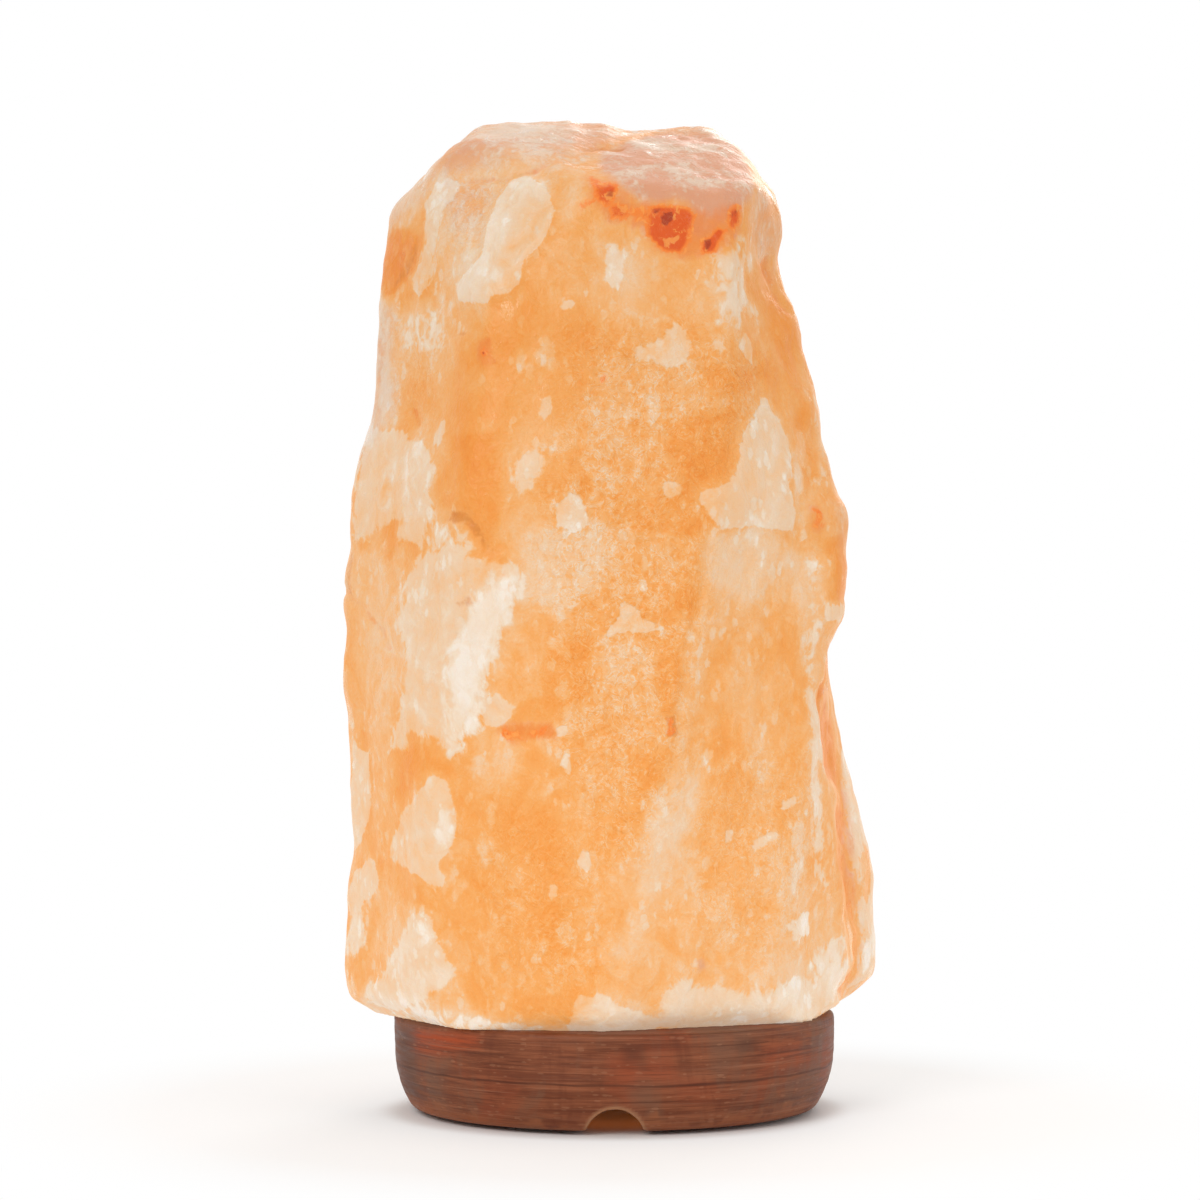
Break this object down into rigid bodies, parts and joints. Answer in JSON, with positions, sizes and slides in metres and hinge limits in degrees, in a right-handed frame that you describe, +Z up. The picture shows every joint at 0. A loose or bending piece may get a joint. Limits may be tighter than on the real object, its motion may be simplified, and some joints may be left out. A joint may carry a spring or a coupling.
{
  "type": "salt crystal lamp",
  "caption": "Table lamp: a hewn rock of salt with a bore from below, on a turned wooden base, lit by a small screw-in bulb in a snap-in lampholder.",
  "frame": {"origin": "on the axis of the base and of its hole, on the surface that the lamp stands on", "axes": "+Z up along the bore; the front, with one end of the cord channel, looks along -Y; +X is to the right as seen from the front"},
  "size_m": [0.1409, 0.1203, 0.2613],
  "materials": {
    "salt": "rough translucent rock salt, lit from inside",
    "stained_wood": "stained, turned and waxed",
    "felt": "felt",
    "zinc_steel": "zinc plated",
    "nylon": "moulded",
    "holder_plastic": "moulded",
    "steatite": "unglazed",
    "brass": "plain",
    "spring_steel": "bright",
    "nickel": "nickel plated",
    "solder": "soldered",
    "black_glass": "vitreous",
    "clear_glass": "clear",
    "bulb_wire": "drawn wire",
    "tungsten": "lit filament"
  },
  "bodies": {
    "stand": {"salt_crystal": "salt", "wooden_base": "stained_wood", "felt_pads": "felt", "base_screws": "zinc_steel", "wall_plugs": "nylon"},
    "lampholder": {"holder_cap": "holder_plastic", "holder_sleeve": "holder_plastic", "holder_core": "steatite", "screw_shell": "brass", "spring_clip": "spring_steel", "centre_contact": "brass", "contact_rivets": "brass", "terminal_blocks": "brass", "terminal_screws": "zinc_steel"},
    "bulb_tip": {"bulb_contact": "solder"},
    "bulb": {"bulb_insulator": "black_glass", "bulb_cap": "nickel", "bulb_glass": "clear_glass", "bulb_stem": "clear_glass", "lead_wires": "bulb_wire", "support_wire": "bulb_wire", "filament": "tungsten"}
  },
  "joints": [
    {"name": "holder_pull", "type": "slide", "parent": "stand", "child": "lampholder", "axis": [0, 0, -1], "range_m": [0, 0.11]},
    {"name": "bulb_lift", "type": "slide", "parent": "lampholder", "child": "bulb_tip", "axis": [0, 0, 1], "range_m": [0, 0.01129]},
    {"name": "bulb_turn", "type": "hinge", "parent": "bulb_tip", "child": "bulb", "pos_m": [0, 0, 0], "axis": [0, 0, 1], "range_deg": [0, 1440]}
  ],
  "couplings": [
    {"joint": "bulb_lift", "follows": "bulb_turn", "m_per_rad": 0.00044917}
  ]
}
